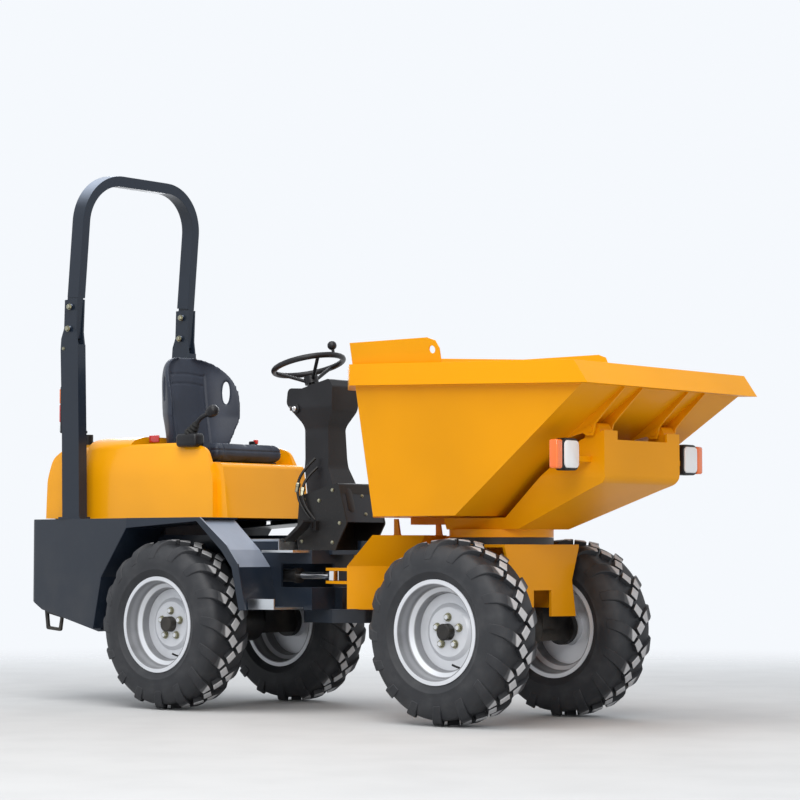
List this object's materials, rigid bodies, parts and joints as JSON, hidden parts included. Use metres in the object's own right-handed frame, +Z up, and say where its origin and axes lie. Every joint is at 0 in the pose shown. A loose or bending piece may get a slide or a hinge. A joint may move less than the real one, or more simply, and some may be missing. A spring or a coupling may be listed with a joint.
{
  "type": "site dumper",
  "caption": "Articulated site dumper with a swivelling, forward-tipping skip, driver's seat, steering column, folding roll-over hoop and a rear engine under a hood.",
  "frame": {"origin": "on the ground, in the middle of the machine's bounding box", "axes": "+X towards the lip of the skip, +Y to the machine's left, +Z up"},
  "size_m": [3.6017, 1.196, 2.5056],
  "materials": {
    "amber_paint": "gloss",
    "slate_paint": "satin",
    "rim_silver": "satin",
    "tyre": "matt",
    "black_steel": "satin",
    "black_plastic": "matt",
    "seat_vinyl": "matt",
    "bright_sheet": "satin",
    "chrome_rod": "mirror",
    "lamp": "gloss",
    "headlamp": "gloss",
    "cast_block": "rough"
  },
  "bodies": {
    "rear_chassis": {"rear_frame": "slate_paint", "foot_plate": "bright_sheet", "steps": "bright_sheet", "rear_skirt": "slate_paint", "rear_mudguards": "slate_paint", "rear_axle": "black_steel", "engine_block": "cast_block", "seat_console": "amber_paint", "bonnet_hinges": "slate_paint", "seat_back": "seat_vinyl", "seat_cushion": "seat_vinyl", "seat_frame": "black_steel", "rops_posts": "slate_paint", "tail_lamps": "lamp", "column_base": "black_steel", "steering_column": "black_plastic", "steering_shaft": "black_steel", "pedals": "black_steel", "control_lever": "black_plastic", "tow_hitch": "slate_paint", "tie_downs": "black_steel"},
    "bonnet": {"engine_bonnet": "amber_paint", "filler_cap": "black_plastic"},
    "hoop": {"rops_hoop": "slate_paint"},
    "steering": {"steering_wheel": "black_plastic"},
    "rear_left_wheel": {"rear_left_tyre": "tyre", "rear_left_rim": "rim_silver"},
    "rear_right_wheel": {"rear_right_tyre": "tyre", "rear_right_rim": "rim_silver"},
    "front_left_wheel": {"front_left_tyre": "tyre", "front_left_rim": "rim_silver"},
    "front_right_wheel": {"front_right_tyre": "tyre", "front_right_rim": "rim_silver"},
    "front_chassis": {"front_frame": "amber_paint", "front_axle": "black_steel", "slew_ring": "black_steel"},
    "swivel": {"swivel_console": "amber_paint", "front_lamps": "headlamp"},
    "skip_body": {"skip": "amber_paint", "lift_channel": "amber_paint"},
    "steer_cylinder_barrel": {"steer_barrel": "black_steel"},
    "steer_cylinder_rod": {"steer_rod": "chrome_rod"},
    "tip_cylinder_barrel": {"tip_barrel": "black_steel"},
    "tip_cylinder_rod": {"tip_rod": "chrome_rod"}
  },
  "joints": [
    {"name": "rear_left_roll", "type": "hinge", "parent": "rear_chassis", "child": "rear_left_wheel", "pos_m": [-0.64, 0.395, 0.38], "axis": [0, 1, 0], "continuous": true},
    {"name": "rear_right_roll", "type": "hinge", "parent": "rear_chassis", "child": "rear_right_wheel", "pos_m": [-0.64, -0.395, 0.38], "axis": [0, 1, 0], "continuous": true},
    {"name": "front_left_roll", "type": "hinge", "parent": "front_chassis", "child": "front_left_wheel", "pos_m": [0.975, 0.395, 0.38], "axis": [0, 1, 0], "continuous": true},
    {"name": "front_right_roll", "type": "hinge", "parent": "front_chassis", "child": "front_right_wheel", "pos_m": [0.975, -0.395, 0.38], "axis": [0, 1, 0], "continuous": true},
    {"name": "articulation", "type": "hinge", "parent": "rear_chassis", "child": "front_chassis", "pos_m": [0.167, 0, 0.57], "axis": [0, 0, 1], "range_deg": [-33, 33]},
    {"name": "slew", "type": "hinge", "parent": "front_chassis", "child": "swivel", "pos_m": [0.92, 0, 0.76], "axis": [0, 0, 1], "range_deg": [-90, 90]},
    {"name": "tip", "type": "hinge", "parent": "swivel", "child": "skip_body", "pos_m": [1.59, 0, 1.19], "axis": [0, 1, 0], "range_deg": [0, 60]},
    {"name": "bonnet_lift", "type": "hinge", "parent": "rear_chassis", "child": "bonnet", "pos_m": [-1.651, 0, 0.868], "axis": [0, -1, 0], "range_deg": [0, 60]},
    {"name": "hoop_fold", "type": "hinge", "parent": "rear_chassis", "child": "hoop", "pos_m": [-1.372, 0, 1.756], "axis": [0, 1, 0], "range_deg": [-110, 0]},
    {"name": "steering_turn", "type": "hinge", "parent": "rear_chassis", "child": "steering", "pos_m": [-0.16926, 0, 1.46173], "axis": [-0.247, 0, 0.969], "continuous": true},
    {"name": "steer_barrel_swing", "type": "hinge", "parent": "rear_chassis", "child": "steer_cylinder_barrel", "pos_m": [-0.455, -0.185, 0.6], "axis": [0, 0, 1], "range_deg": [-2, 2]},
    {"name": "steer_rod_slide", "type": "slide", "parent": "steer_cylinder_barrel", "child": "steer_cylinder_rod", "axis": [1, 0, 0], "range_m": [-0.102, 0.102]},
    {"name": "tip_barrel_swing", "type": "hinge", "parent": "swivel", "child": "tip_cylinder_barrel", "pos_m": [1.47, 0, 0.985], "axis": [0, 1, 0], "range_deg": [0, 70]},
    {"name": "tip_rod_slide", "type": "slide", "parent": "tip_cylinder_barrel", "child": "tip_cylinder_rod", "axis": [-0.9413, 0, -0.3377], "range_m": [0, 0.235]}
  ],
  "couplings": [
    {"joint": "steer_barrel_swing", "follows": "articulation", "ratio": -0.059},
    {"joint": "steer_rod_slide", "follows": "articulation", "m_per_rad": 0.1728},
    {"joint": "tip_barrel_swing", "follows": "tip", "ratio": 1.1386},
    {"joint": "tip_rod_slide", "follows": "tip", "m_per_rad": 0.2187}
  ]
}
